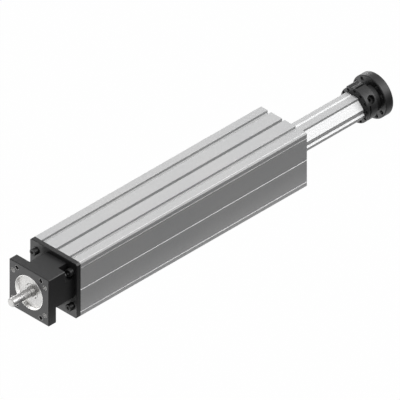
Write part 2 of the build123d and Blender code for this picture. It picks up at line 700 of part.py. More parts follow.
def guide_rail():
    rail = prism(rail_points(), RAIL_START, RAIL_END)
    track = RAIL_TOP - RAIL_TRACK_DROP
    for side in (1, -1):
        rail -= cylinder(RAIL_TRACK / 2, RAIL_START, RAIL_END, side * RAIL_WIDTH / 2, track)
    head_room = Cylinder(SMALL_SCREW_HEAD / 2 + HEAD_GAP, RAIL_SCREW_SINK, align=CENTRED_DOWN)
    hole = Cylinder(SMALL_SCREW / 2 + SEAT_GAP, RAIL_HEIGHT, align=CENTRED_DOWN)
    for x in rail_screw_places():
        rail -= Pos(x, 0, RAIL_TOP) * head_room
        rail -= Pos(x, 0, RAIL_TOP) * hole
    return rail


def rail_screws():
    seat = RAIL_TOP - RAIL_SCREW_SINK
    length = seat + CAVITY_HALF_HEIGHT + RAIL_SCREW_REACH - HEAD_GAP * 2
    screw = socket_screw(SMALL_SCREW, length, SMALL_SCREW_HEAD, SMALL_SCREW, SMALL_SCREW_KEY)
    return group(Pos(x, 0, seat) * screw for x in rail_screw_places())


def runner_section(start, end, width):
    body = block(start, end, width, RUNNER_BOTTOM, RUNNER_TOP)
    return body - prism(rail_points(RUN_GAP), start, end)


def runner_block():
    start = RUNNER_START + RUNNER_CAP_LENGTH
    end = RUNNER_START + RUNNER_LENGTH - RUNNER_CAP_LENGTH
    body = runner_section(start, end, RUNNER_WIDTH)
    tap = Cylinder(SMALL_SCREW / 2, RUNNER_SCREW_REACH, align=CENTRED_DOWN)
    for x, y in runner_screw_places():
        body -= Pos(x, y, RUNNER_TOP) * tap
    return body


def runner_end_caps():
    width = RUNNER_WIDTH - 2 * RUNNER_CAP_INSET
    far = RUNNER_START + RUNNER_LENGTH
    near = runner_section(RUNNER_START, RUNNER_START + RUNNER_CAP_LENGTH, width)
    return group([near, runner_section(far - RUNNER_CAP_LENGTH, far, width)])


def runner_screws():
    length = CARRIER_BASE_HEIGHT + RUNNER_SCREW_REACH
    screw = socket_screw(SMALL_SCREW, length, SMALL_SCREW_HEAD, SMALL_SCREW, SMALL_SCREW_KEY)
    top = RUNNER_TOP + CARRIER_BASE_HEIGHT
    return group(Pos(x, y, top) * screw for x, y in runner_screw_places())


def front_cover():
    cavity = make_face(Polyline(*cavity_points(), close=True))
    face = offset(cavity, amount=-SEAT_GAP, kind=Kind.INTERSECTION)
    body = extrude(Plane.YZ.offset(COVER_START) * face, COVER_END - COVER_START)
    body -= cylinder(GUIDE_OUTSIDE, COVER_START, COVER_END)
    depth = COVER_SCREW_LENGTH + TAP_GAP / 2
    tap = Cylinder(FLAT_SCREW / 2, depth, align=CENTRED_DOWN)
    for place in cover_screw_places():
        body -= place * tap
    tap_start = COVER_END - WIPER_SCREW_REACH - TAP_GAP
    for y, z in corners(WIPER_SCREW_Y, WIPER_SCREW_Z):
        body -= cylinder(SMALL_SCREW, tap_start, COVER_END, y, z)
    return body


def front_cover_screws():
    screw = flat_screw(FLAT_SCREW, COVER_SCREW_LENGTH, FLAT_SCREW_KEY)
    return group(place * screw for place in cover_screw_places())


def feed_guide():
    return cylinder(GUIDE_OUTSIDE, COVER_START, WIPER_START) - bar_solid(COVER_START, WIPER_START, GUIDE_GAP)


def feed_wiper():
    return cylinder(GUIDE_OUTSIDE, WIPER_START, COVER_END) - bar_solid(WIPER_START, COVER_END, RUN_GAP)


def wiper_plate():
    end = COVER_END + WIPER_PLATE
    half_height = WIPER_PLATE_HALF_HEIGHT
    corner = WIPER_PLATE_HALF_WIDTH + half_height - CORNER_BLOCK_INSIDE - CORNER_BLOCK_START
    plate = block(COVER_END, end, 2 * WIPER_PLATE_HALF_WIDTH, -half_height, half_height)
    plate = chamfer(plate.edges().filter_by(Axis.X), corner + WIPER_PLATE_CORNER_GAP)
    plate -= bar_solid(COVER_END, end, 3 * RUN_GAP)
    for y, z in corners(WIPER_SCREW_Y, WIPER_SCREW_Z):
        plate -= cylinder(SMALL_SCREW + 2 * SEAT_GAP, COVER_END, end, y, z)
    return plate


def wiper_screws():
    length = WIPER_SCREW_REACH + WIPER_PLATE
    screw = socket_screw(SMALL_SCREW, length, SMALL_SCREW_HEAD, WIPER_SCREW_HEAD_HEIGHT, SMALL_SCREW_KEY)
    start = COVER_END + WIPER_PLATE
    return group(Pos(start, y, z) * Rot(0, 90, 0) * screw for y, z in corners(WIPER_SCREW_Y, WIPER_SCREW_Z))


def rear_buffer():
    return tube(BUFFER_OUTSIDE, SCREW_DIAMETER + 8 * RUN_GAP, FRAME_START, FRAME_START + BUFFER_WIDTH)


def front_buffer():
    start = COVER_START - BUFFER_WIDTH / 2
    return cylinder(BUFFER_OUTSIDE, start, COVER_START) - bar_solid(start, COVER_START, 4 * RUN_GAP)


def feed_profile():
    start = CARRIER_END - BAR_SOCKET_DEPTH
    end = HUB_START + HUB_SEAT
    return bar_solid(start, end) - cylinder(BAR_BORE, start, end)


def bar_end_plug():
    end = HUB_START + HUB_SEAT
    plug = cylinder(BAR_BORE, end - PLUG_LENGTH, end)
    return plug - cylinder(SET_SCREW, end - PLUG_LENGTH + PLUG_FLOOR, end)


def radial_screw_places(depth):
    """Places on the hub that point at the bar's two slanted faces."""
    x = HUB_START + HUB_SCREW_PLACE
    face_middle = Pos(0, -slanted_face_middle(), depth)
    return [Pos(x, 0, 0) * Rot(turn, 0, 0) * face_middle for turn in (45, 225)]


def slanted_face_distance():
    y, z = SLANT_TOP
    return (z - y) / math.sqrt(2)


def slanted_face_middle():
    """How far the middle of the slanted face lies from the diagonal through the axis."""
    along = [(-y - z) / math.sqrt(2) for y, z in (SLANT_TOP, SLANT_FOOT)]
    return sum(along) / 2


def adapter():
    hub = cylinder(HUB_DIAMETER, HUB_START, HUB_END)
    hub = chamfer(hub.edges().sort_by(Axis.X)[0], HUB_EDGE)
    disc = cylinder(DISC_DIAMETER, DISC_START, DISC_END)
    disc = chamfer(disc.edges(), DISC_EDGE)
    body = hub + cylinder(NECK_DIAMETER, HUB_END, DISC_START) + disc
    body -= bar_solid(HUB_START, HUB_START + HUB_SEAT, SEAT_GAP)
    for y, z in on_circle(HUB_HOLE_CIRCLE, HUB_HOLE_COUNT):
        body -= cylinder(HUB_HOLE_BORE, HUB_START, HUB_START + HUB_HOLE_DEPTH, y, z)
    for y, z in disc_hole_places():
        body -= cylinder(DISC_HOLE_BORE, DISC_START, DISC_END, y, z)
    for place in radial_screw_places(0.0):
        hole = Cylinder(SET_SCREW / 2, HUB_DIAMETER, align=CENTRED_UP)
        body -= place * hole
    body -= cylinder(SET_SCREW + 2 * SEAT_GAP, HUB_START, DISC_END)
    body -= cylinder(BOLT_HEAD + 2 * BOLT_HEAD_GAP, BOLT_SEAT, DISC_END)
    return body


def disc_hole_places():
    """Eight holes in the adapter disc, in pairs about the diagonals."""
    radius = DISC_HOLE_CIRCLE / 2
    long = radius * math.cos(math.radians(30))
    short = radius * math.sin(math.radians(30))
    return corners(long, short) + corners(short, long)


def adapter_set_screws():
    depth = slanted_face_distance() + SET_SCREW_LENGTH
    screw = set_screw(SET_SCREW, SET_SCREW_LENGTH, SET_SCREW_KEY)
    return group(place * screw for place in radial_screw_places(depth))


def adapter_bolt():
    length = BOLT_SEAT - (HUB_START + HUB_SEAT - PLUG_LENGTH + BOLT_END_GAP)
    screw = socket_screw(SET_SCREW, length, BOLT_HEAD, BOLT_HEAD_HEIGHT, BOLT_KEY)
    return Pos(BOLT_SEAT, 0, 0) * Rot(0, 90, 0) * screw


def end_plate_screws():
    length = END_PLATE_THICKNESS + CORNER_SCREW_DEPTH
    screw = socket_screw(CORNER_SCREW, length, CORNER_SCREW_HEAD, CORNER_SCREW, CORNER_SCREW_KEY)
    places = corners(CORNER_SCREW_Y, CORNER_SCREW_Z)
    return group(Pos(HOUSING_LENGTH, y, z) * Rot(0, -90, 0) * screw for y, z in places)


def housing_screws():
    screw = flat_screw(FLAT_SCREW, HOUSING_SCREW_LENGTH, FLAT_SCREW_KEY)
    places = on_circle(HOUSING_SCREW_CIRCLE, 4)
    return group(Pos(FRAME_START, y, z) * Rot(0, 90, 0) * screw for y, z in places)


save("frame_profile", frame_profile())
save("end_plate", end_plate())
save("end_plate_screws", end_plate_screws())
save("drive_housing", drive_housing())
save("housing_screws", housing_screws())
save("bearing_cover", bearing_cover())
save("bearing_outer_rings", bearing_rings(BEARING_OUTSIDE, OUTER_RING_INSIDE))
save("bearing_inner_rings", bearing_rings(INNER_RING_OUTSIDE, BEARING_BORE))
save("bearing_balls", bearing_balls())
save("shaft_seal", shaft_seal())
save("ball_screw", ball_screw())
save("lock_nut", lock_nut())
save("screw_end_bush", screw_end_bush())
save("screw_end_ring", screw_end_ring())
save("ball_nut", ball_nut())
save("nut_return_cap", return_cap())
save("nut_balls", nut_balls())
save("nut_seals", nut_seals())
save("nut_screws", nut_screws())
save("nut_carrier", nut_carrier())
save("bar_set_screws", bar_set_screws())
save("guide_rail", guide_rail())
save("rail_screws", rail_screws())
save("runner_block", runner_block())
save("runner_end_caps", runner_end_caps())
save("runner_screws", runner_screws())
save("front_cover", front_cover())
save("front_cover_screws", front_cover_screws())
save("feed_guide", feed_guide())
save("feed_wiper", feed_wiper())
save("wiper_plate", wiper_plate())
save("wiper_screws", wiper_screws())
save("rear_buffer", rear_buffer())
save("front_buffer", front_buffer())
save("feed_profile", feed_profile())
save("bar_end_plug", bar_end_plug())
save("adapter", adapter())
save("adapter_set_screws", adapter_set_screws())
save("adapter_bolt", adapter_bolt())
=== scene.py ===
import json
import math

import bpy
import numpy as np
from mathutils import Matrix, Vector

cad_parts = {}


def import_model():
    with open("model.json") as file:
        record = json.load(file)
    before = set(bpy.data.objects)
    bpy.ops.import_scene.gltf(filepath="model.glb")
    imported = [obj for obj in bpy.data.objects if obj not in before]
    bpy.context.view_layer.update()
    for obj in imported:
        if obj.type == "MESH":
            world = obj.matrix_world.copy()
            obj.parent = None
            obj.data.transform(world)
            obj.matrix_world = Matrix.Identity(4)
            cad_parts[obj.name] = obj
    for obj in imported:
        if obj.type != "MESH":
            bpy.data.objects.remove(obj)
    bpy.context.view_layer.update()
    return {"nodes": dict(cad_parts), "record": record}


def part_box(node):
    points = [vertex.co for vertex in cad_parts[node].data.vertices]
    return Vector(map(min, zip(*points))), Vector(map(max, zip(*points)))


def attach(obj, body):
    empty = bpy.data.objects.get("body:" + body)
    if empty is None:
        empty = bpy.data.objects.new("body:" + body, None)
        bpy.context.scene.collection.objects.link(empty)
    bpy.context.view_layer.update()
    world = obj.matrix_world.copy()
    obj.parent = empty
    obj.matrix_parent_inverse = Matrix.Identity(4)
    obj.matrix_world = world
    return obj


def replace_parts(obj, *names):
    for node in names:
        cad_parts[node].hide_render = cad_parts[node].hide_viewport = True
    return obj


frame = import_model()
nodes = frame["nodes"]
MM = 0.001


# Node graphs

NOISE_MIDDLE = (0.3, 0.7)


def new_material(name):
    """Node material with its tree and its shader."""
    material = bpy.data.materials.new(name)
    material.use_nodes = True
    shader = material.node_tree.nodes["Principled BSDF"]
    return material, material.node_tree, shader


def noise(tree, scale, detail, stretch=(1.0, 1.0, 1.0)):
    """Noise over the object coordinates in metres, stretched by a scale on each axis."""
    coordinates = tree.nodes.new("ShaderNodeTexCoord")
    mapping = tree.nodes.new("ShaderNodeMapping")
    mapping.inputs["Scale"].default_value = stretch
    tree.links.new(coordinates.outputs["Object"], mapping.inputs["Vector"])
    node = tree.nodes.new("ShaderNodeTexNoise")
    node.inputs["Scale"].default_value = scale
    node.inputs["Detail"].default_value = detail
    tree.links.new(mapping.outputs["Vector"], node.inputs["Vector"])
    return node.outputs["Fac"]


def ramp(tree, value, low, high):
    """Colour that goes from low to high over the middle of a noise; each may be one grey number."""
    node = tree.nodes.new("ShaderNodeValToRGB")
    for element, position, color in zip(node.color_ramp.elements, NOISE_MIDDLE, (low, high)):
        rgb = (color,) * 3 if isinstance(color, float) else color
        element.position = position
        element.color = (*rgb, 1.0)
    tree.links.new(value, node.inputs["Fac"])
    return node.outputs["Color"]


def math_node(tree, operation, first, second=None):
    """Result of a sum on numbers or on outputs of other nodes."""
    node = tree.nodes.new("ShaderNodeMath")
    node.operation = operation
    for socket, value in zip(node.inputs, (first, second)):
        if value is None:
            continue
        if isinstance(value, (int, float)):
            socket.default_value = value
        else:
            tree.links.new(value, socket)
    return node.outputs["Value"]


def bump(tree, height, distance, strength, shader):
    """Fine relief on a shader, whose height in metres is the distance."""
    node = tree.nodes.new("ShaderNodeBump")
    node.inputs["Strength"].default_value = strength
    node.inputs["Distance"].default_value = distance
    tree.links.new(height, node.inputs["Height"])
    tree.links.new(node.outputs["Normal"], shader.inputs["Normal"])


def coordinate_parts(tree, kind="Object"):
    """The three numbers of the object coordinates, or of the normal in them."""
    coordinates = tree.nodes.new("ShaderNodeTexCoord")
    parts = tree.nodes.new("ShaderNodeSeparateXYZ")
    tree.links.new(coordinates.outputs[kind], parts.inputs["Vector"])
    return parts.outputs


def axis_radius(tree):
    """Distance from the screw axis and place along it, from the object coordinates."""
    parts = coordinate_parts(tree)
    squares = [math_node(tree, "POWER", parts[name], 2.0) for name in ("Y", "Z")]
    return math_node(tree, "SQRT", math_node(tree, "ADD", *squares)), parts["X"]


def all_of(tree, *tests):
    """1 where every (value, operation, limit) holds, 0 elsewhere."""
    results = [math_node(tree, operation, value, limit) for value, operation, limit in tests]
    whole = results[0]
    for result in results[1:]:
        whole = math_node(tree, "MULTIPLY", whole, result)
    return whole


def between(tree, share, low, high):
    """A number that goes from low to high with the share."""
    return math_node(tree, "ADD", math_node(tree, "MULTIPLY", share, high - low), low)


def shaded(tree, color, share):
    """A colour scaled by a number."""
    node = tree.nodes.new("ShaderNodeVectorMath")
    node.operation = "SCALE"
    tree.links.new(color, node.inputs[0])
    tree.links.new(share, node.inputs["Scale"])
    return node.outputs["Vector"]


# Finishes

# Band below the frame's top in which the floors of the grooves lie; what faces up there gets a painted
# shade
FRAME_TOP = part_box("frame_profile")[1][2]
GROOVE_TOP = FRAME_TOP - 0.4 * MM
GROOVE_FLOOR = FRAME_TOP - 8.0 * MM
GROOVE_UPWARD = 0.3
GROOVE_PAINTED_SHADE = 0.45

# Room inside the adapter's hub in which its cuts lie; there they are made rough and given a painted shade
HUB_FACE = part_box("adapter")[0][0]
CUT_RADIUS = 20.3 * MM
CUT_START = HUB_FACE + 0.15 * MM
CUT_END = HUB_FACE + 14.0 * MM
CUT_PAINTED_SHADE = 0.3

BLACK_GLOSS = 0.34
SCREW_GLOSS = 0.2

# Steel: radians a metre of the turned rings, then shares of the tint and of the metallic look
TURNING_LINES = 2.2e4
JOURNAL_RADIUS = 8.5 * MM
RECESS_WALL = 19.6 * MM
WALL_BAND = 1.4 * MM
STEEL_SHADE = 0.66
JOURNAL_SHADE = 0.80
# Share added to the recess wall's tint: a painted highlight
WALL_PAINTED_HIGHLIGHT = 0.7
STEEL_METAL = 0.85
JOURNAL_METAL = 0.5
WALL_METAL = -0.75


def anodised_aluminium():
    """Clear satin anodising over faint extrusion lines that run along the profile. What faces up inside
    the frame's grooves is painted darker, a painted shade standing in for the shade in them."""
    material, tree, shader = new_material("anodised_aluminium")
    lines = noise(tree, 1.0, 4.0, (4.0, 900.0, 900.0))
    clouds = noise(tree, 1.0, 2.0, (12.0, 12.0, 12.0))
    tint = ramp(tree, clouds, (0.70, 0.705, 0.71), (0.735, 0.735, 0.735))
    height = coordinate_parts(tree)["Z"]
    upward = coordinate_parts(tree, "Normal")["Z"]
    painted_groove_shade = all_of(
        tree, (height, "LESS_THAN", GROOVE_TOP), (height, "GREATER_THAN", GROOVE_FLOOR),
        (upward, "GREATER_THAN", GROOVE_UPWARD))
    # Painted shade: faces that look up inside the grooves are darkened
    tint = shaded(tree, tint, between(tree, painted_groove_shade, 1.0, GROOVE_PAINTED_SHADE))
    tree.links.new(tint, shader.inputs["Base Color"])
    tree.links.new(ramp(tree, lines, 0.34, 0.42), shader.inputs["Roughness"])
    shader.inputs["Metallic"].default_value = 0.1
    bump(tree, lines, 0.00002, 0.25, shader)
    return material


def black_anodised(name="black_anodised", rough_cuts_painted_dark=False):
    """Black anodising on milled aluminium: fine grain and a soft sheen. With the cuts painted dark, what
    lies inside the adapter's hub is rough and darkened by a painted shade."""
    material, tree, shader = new_material(name)
    grain = noise(tree, 1800.0, 2.0)
    clouds = noise(tree, 60.0, 2.0)
    tint = ramp(tree, clouds, (0.013, 0.013, 0.0135), (0.017, 0.017, 0.0175))
    rough = ramp(tree, clouds, 0.38, 0.46)
    shader.inputs["Specular IOR Level"].default_value = BLACK_GLOSS
    if rough_cuts_painted_dark:
        radius, along = axis_radius(tree)
        inside = all_of(
            tree, (radius, "LESS_THAN", CUT_RADIUS), (along, "GREATER_THAN", CUT_START),
            (along, "LESS_THAN", CUT_END))
        # Painted shade: the cuts and holes inside the hub are darkened; their roughness is the finish
        tint = shaded(tree, tint, between(tree, inside, 1.0, CUT_PAINTED_SHADE))
        rough = math_node(tree, "MAXIMUM", rough, inside)
    tree.links.new(rough, shader.inputs["Roughness"])
    tree.links.new(tint, shader.inputs["Base Color"])
    bump(tree, grain, 0.00001, 0.2, shader)
    return material


def black_screw_steel(name="black_screw_steel", low=0.36, high=0.46):
    """Black oxide on forged screw heads, between two roughnesses."""
    material, tree, shader = new_material(name)
    grain = noise(tree, 700.0, 3.0)
    tree.links.new(ramp(tree, grain, 0.018, 0.035), shader.inputs["Base Color"])
    tree.links.new(ramp(tree, grain, low, high), shader.inputs["Roughness"])
    shader.inputs["Specular IOR Level"].default_value = SCREW_GLOSS
    bump(tree, grain, 0.00002, 0.3, shader)
    return material


def turned_steel():
    """Turned and ground steel with fine rings about the screw axis. The journal is paler and less
    metallic. The wall of the motor flange's recess is paler still, a painted highlight, and less metallic
    still."""
    material, tree, shader = new_material("turned_steel")
    radius, along = axis_radius(tree)
    waves = math_node(tree, "MULTIPLY", math_node(tree, "ADD", radius, along), TURNING_LINES)
    rings = math_node(tree, "SINE", waves)
    clouds = noise(tree, 90.0, 2.0)
    tint = ramp(tree, clouds, (0.60, 0.595, 0.59), (0.62, 0.615, 0.60))
    journal = all_of(tree, (radius, "LESS_THAN", JOURNAL_RADIUS))
    wall = all_of(
        tree, (radius, "GREATER_THAN", RECESS_WALL), (radius, "LESS_THAN", RECESS_WALL + WALL_BAND))
    # Painted highlight: the band of the recess wall is made much paler
    painted_highlight = math_node(tree, "MULTIPLY", wall, WALL_PAINTED_HIGHLIGHT)
    share = math_node(tree, "ADD", between(tree, journal, STEEL_SHADE, JOURNAL_SHADE), painted_highlight)
    tree.links.new(shaded(tree, tint, share), shader.inputs["Base Color"])
    less = math_node(tree, "MULTIPLY", wall, WALL_METAL)
    metal = math_node(tree, "ADD", between(tree, journal, STEEL_METAL, JOURNAL_METAL), less)
    tree.links.new(metal, shader.inputs["Metallic"])
    tree.links.new(ramp(tree, clouds, 0.26, 0.28), shader.inputs["Roughness"])
    bump(tree, rings, 0.000002, 0.05, shader)
    return material


def bearing_steel():
    """Ground and hardened steel."""
    material, tree, shader = new_material("bearing_steel")
    streaks = noise(tree, 1.0, 3.0, (40.0, 800.0, 800.0))
    tree.links.new(ramp(tree, streaks, 0.50, 0.60), shader.inputs["Base Color"])
    tree.links.new(ramp(tree, streaks, 0.18, 0.28), shader.inputs["Roughness"])
    shader.inputs["Metallic"].default_value = 0.9
    return material


def moulded(name, scale, low, high, roughness, strength):
    """Moulded rubber or plastic, whose grey goes from low to high with a fine grain."""
    material, tree, shader = new_material(name)
    grain = noise(tree, scale, 2.0)
    tree.links.new(ramp(tree, grain, low, high), shader.inputs["Base Color"])
    shader.inputs["Roughness"].default_value = roughness
    bump(tree, grain, 0.00003, strength, shader)
    return material


FINISHES = {
    "anodised_aluminium": anodised_aluminium(),
    "adapter_black": black_anodised("adapter_black", rough_cuts_painted_dark=True),
    "black_anodised": black_anodised(),
    "black_screw_steel": black_screw_steel(),
    "sunk_screw_steel": black_screw_steel("sunk_screw_steel", 0.75, 0.90),
    "turned_steel": turned_steel(),
    "bearing_steel": bearing_steel(),
    "seal_rubber": moulded("seal_rubber", 1200.0, 0.016, 0.026, 0.7, 0.3),
    "guide_plastic": moulded("guide_plastic", 500.0, 0.035, 0.050, 0.5, 0.2),
}


def dress(piece, finish):
    """Gives a piece one finish all over."""
    piece.data.materials.clear()
    piece.data.materials.append(FINISHES[finish])


for entry in frame["record"]["subparts"]:
    dress(nodes[entry["node"]], entry["material_slot"])
dress(nodes["adapter_set_screws"], "sunk_screw_steel")


# New pieces

SHARP_ANGLE = math.radians(32)
MOUNTS = {mount["name"]: mount for mount in frame["record"]["mounts"]}
FLANGE_PATTERNS = ("motor_bolts_upright", "motor_bolts_lying")
DISC_PATTERNS = ("adapter_bolts_lying", "adapter_bolts_upright")
BRIGHT_PATTERN = "motor_bolts_lying"

# Threads: the crest and the back of a sleeve lie a gap inside the hole's wall
TAP_PITCH = 0.8 * MM
TAP_DEPTH = TAP_PITCH * 0.45
TAP_START = 0.4 * MM
TAP_GAP = 0.02 * MM
TAP_BACK = 0.005 * MM
TAP_ROWS = 8
TAP_STEPS = 24
FLANGE_THREAD = 8.0 * MM
DISC_THREAD = 4.5 * MM

# Rings: how far one stands out of the flange's face and sinks into it
RING_WIDTH = 0.2 * MM
RING_STAND = 0.03 * MM
RING_SINK = 0.2 * MM
RING_STEPS = 32


def enclosed_volume(points, faces):
    """Six times the signed volume inside quads, positive where their normals point outward."""
    a, b, c, d = (points[faces[:, i]] for i in range(4))
    first = np.einsum("ij,ij->i", a, np.cross(b, c))
    return float(np.sum(first + np.einsum("ij,ij->i", a, np.cross(c, d))))


def grid_piece(name, points, body, finish):
    """Piece from a (rows, columns, 3) array that closes on itself both ways."""
    rows, columns = points.shape[:2]
    index = np.arange(rows * columns).reshape(rows, columns)
    right = np.roll(index, -1, axis=1)
    up = np.roll(index, -1, axis=0)
    corner = np.roll(right, -1, axis=0)
    faces = np.stack([index, right, corner, up], axis=-1).reshape(-1, 4)
    flat = points.reshape(-1, 3)
    if enclosed_volume(flat, faces) < 0:
        faces = faces[:, ::-1]
    mesh = bpy.data.meshes.new(name)
    mesh.from_pydata(flat.tolist(), [], faces.tolist())
    mesh.shade_smooth()
    mesh.set_sharp_from_angle(angle=SHARP_ANGLE)
    mesh.update()
    piece = bpy.data.objects.new(name, mesh)
    bpy.context.collection.objects.link(piece)
    dress(piece, finish)
    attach(piece, body)
    return piece


def full_turn(steps):
    """Evenly spaced angles of one turn."""
    return np.linspace(0.0, math.tau, steps, endpoint=False)


def around(x, r, angle, y=0.0, z=0.0):
    """Points at a radius and an angle about the line along X through (y, z)."""
    return np.stack([x, y + r * np.cos(angle), z + r * np.sin(angle)], axis=-1)


def thread_sleeve(name, y, z, start, end, radius, body, finish):
    """Tapped wall of a hole: a thin sleeve along X whose inner radius is a cosine wave that
    climbs one pitch a turn, closed over its back by a plain outer radius."""
    along = np.linspace(start, end, int((end - start) / TAP_PITCH * TAP_ROWS) + 1)
    x, angle = np.meshgrid(along, full_turn(TAP_STEPS), indexing="ij")
    wave = 0.5 + 0.5 * np.cos(math.tau * x / TAP_PITCH - angle)
    inner = np.stack([x, radius - TAP_DEPTH * wave - TAP_GAP, angle], axis=-1)
    outer = np.stack([x, np.full_like(x, radius - TAP_BACK), angle], axis=-1)[::-1]
    x, r, angle = np.moveaxis(np.concatenate([outer, inner], axis=0), -1, 0)
    return grid_piece(name, around(x, r, angle, y, z), body, finish)


def mouth_ring(name, y, z, face, radius, body, finish):
    """Broken edge round a hole in a face that looks along -X: a thin flat ring."""
    turn = full_turn(RING_STEPS)
    front = face - RING_STAND
    back = face + RING_SINK
    outer = radius + RING_WIDTH
    chain = np.array([(front, radius), (front, outer), (back, outer), (back, radius)])
    x, r = (chain[:, [i]] * np.ones_like(turn) for i in range(2))
    return grid_piece(name, around(x, r, turn, y, z), body, finish)


def rectangle_places(mount):
    """The four hole centres of a bolt pattern on the screw axis."""
    y = mount["dims"]["spacing_x_mm"] / 2 * MM
    z = mount["dims"]["spacing_y_mm"] / 2 * MM
    return [(sy * y, sz * z) for sy in (1, -1) for sz in (1, -1)]


def tapped_walls():
    """Threads in the motor flange's holes and in the adapter disc's holes, and bright rings at the
    mouths of the flange's."""
    flange_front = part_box("drive_housing")[0][0]
    disc_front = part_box("adapter")[1][0] - DISC_THICKNESS
    for pattern in FLANGE_PATTERNS + DISC_PATTERNS:
        on_flange = pattern in FLANGE_PATTERNS
        body = "frame" if on_flange else "feed"
        face = flange_front if on_flange else disc_front
        length = FLANGE_THREAD if on_flange else DISC_THREAD
        radius = MOUNTS[pattern]["dims"]["hole_r_mm"] * MM
        finish = "turned_steel" if pattern == BRIGHT_PATTERN else "black_screw_steel"
        start = face + TAP_START
        for number, (y, z) in enumerate(rectangle_places(MOUNTS[pattern])):
            thread_sleeve(f"{pattern}_thread_{number}", y, z, start, start + length, radius, body, finish)
            if on_flange:
                mouth_ring(f"{pattern}_ring_{number}", y, z, face, radius, body, "turned_steel")


# Adapter, shaped after the photo where the solid is plainer

HUB_RADIUS = 20.7 * MM
HUB_LENGTH = 14.8 * MM
HUB_EDGE = 0.5 * MM
NECK_RADIUS = 17.0 * MM
DISC_RADIUS = 25.5 * MM
DISC_THICKNESS = 11.0 * MM
DISC_EDGE = 0.8 * MM
SOCKET_DEPTH = 16.1 * MM
SOCKET_GAP = 0.1 * MM
BORE_RADIUS = 4.2 * MM
RECESS_RADIUS = 7.0 * MM
RECESS_DEPTH = 8.5 * MM
FACE_HOLES = 12
HOLE_RING = 18.2 * MM
HOLE_RADIUS = 1.7 * MM
HOLE_DEPTH = 3.5 * MM
SCREW_HOLE_RADIUS = 4.5 * MM
SCREW_HOLE_FLOOR = 11.2 * MM
SLOT_START = 2.3 * MM
SLOT_HALF = 0.8 * MM
SLOT_DEPTH = 4.0 * MM
SLIT_PLACE = 4.0 * MM
SLIT_HALF = 0.6 * MM
SLIT_DEPTH = 3.0 * MM
SLIT_DEGREES = (-70.0, 20.0)
RIDGE_ANGLE = math.radians(62)
RIDGE_RADIUS = 3.4 * MM
RIDGE_SINK = 1.5 * MM
ROUND_STEPS = 360
FINE_STEP = 0.34 * MM
COARSE_STEP = 1.5 * MM

# What still counts as on a round face, and as on a flat one
NEAR = 0.1 * MM
SAME_PLACE = 0.001 * MM

# Rays that find the bar run this far in front of the hub and start this far from the axis
RAY_AHEAD = 5.0 * MM
RAY_START = 30.0 * MM


def bar_radius(turn):
    """How far the feed bar reaches from the axis in each direction, found by rays from outside."""
    bar = nodes["feed_profile"]
    inverse = bar.matrix_world.inverted()
    middle = Vector((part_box("adapter")[0][0] - RAY_AHEAD, 0.0, 0.0))
    end = inverse @ middle
    reach = []
    for angle in turn:
        outward = Vector((0.0, math.cos(angle), math.sin(angle)))
        start = inverse @ (middle + outward * RAY_START)
        found, place, _, _ = bar.ray_cast(start, (end - start).normalized())
        hit = bar.matrix_world @ place
        reach.append(math.hypot(hit.y, hit.z) if found else 0.0)
    return np.array(reach)


def walk(chain):
    """Places and radii, a row a step, along a closed chain of stations (x, radii round the axis, fine)."""
    rows = []
    for (x0, r0, fine), (x1, r1, _) in zip(chain, chain[1:] + chain[:1]):
        span = abs(x1 - x0) + float(np.max(np.abs(r1 - r0)))
        count = max(1, math.ceil(span / (FINE_STEP if fine else COARSE_STEP)))
        for share in np.arange(count) / count:
            rows.append((np.full_like(r0, x0 + (x1 - x0) * share), r0 + (r1 - r0) * share))
    rows = np.array(rows)
    return rows[:, 0], rows[:, 1]


def push(points, inside, axis, level):
    """Moves the chosen points along an axis to one level, which makes a flat-bottomed hole."""
    axis = np.asarray(axis, dtype=float)
    points[inside] += (level - points[inside] @ axis)[:, None] * axis


def adapter_surface():
    """Adapter turned about X. A chain of stations (x, r) runs from the bore over the bar's socket,
    the hub's face and outside, the neck and the disc, and back. A half-round ridge stands on the hub:
    r grows by sqrt(a^2 - (R t)^2) - s at an angle t from it. Inside a hole's outline the points are
    pushed to the hole's floor."""
    turn = full_turn(ROUND_STEPS)
    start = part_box("adapter")[0][0]
    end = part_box("adapter")[1][0]
    disc = end - DISC_THICKNESS
    socket = bar_radius(turn) + SOCKET_GAP
    offset = np.angle(np.exp(1j * (turn - RIDGE_ANGLE)))
    ridge = np.sqrt(np.maximum(RIDGE_RADIUS ** 2 - (HUB_RADIUS * offset) ** 2, 0.0)) - RIDGE_SINK
    hub = HUB_RADIUS + np.maximum(ridge, 0.0)
    hub_end = start + HUB_LENGTH
    same = np.ones_like(turn)
    chain = [
        (start + SOCKET_DEPTH, BORE_RADIUS * same, False),
        (start + SOCKET_DEPTH, socket, False),
        (start, socket, True),
        (start, hub - HUB_EDGE, True),
        (start + HUB_EDGE, hub, True),
        (hub_end - HUB_EDGE, hub, True),
        (hub_end, hub - HUB_EDGE, False),
        (hub_end, NECK_RADIUS * same, True),
        (disc, NECK_RADIUS * same, True),
        (disc, (DISC_RADIUS - DISC_EDGE) * same, True),
        (disc + DISC_EDGE, DISC_RADIUS * same, False),
        (end - DISC_EDGE, DISC_RADIUS * same, True),
        (end, (DISC_RADIUS - DISC_EDGE) * same, True),
        (end, RECESS_RADIUS * same, False),
        (end - RECESS_DEPTH, RECESS_RADIUS * same, False),
        (end - RECESS_DEPTH, BORE_RADIUS * same, False),
    ]
    x, r = walk(chain)
    points = around(x, r, turn)
    cut_adapter(points, start, disc, end)
    return grid_piece("adapter_dressed", points, "feed", "adapter_black")


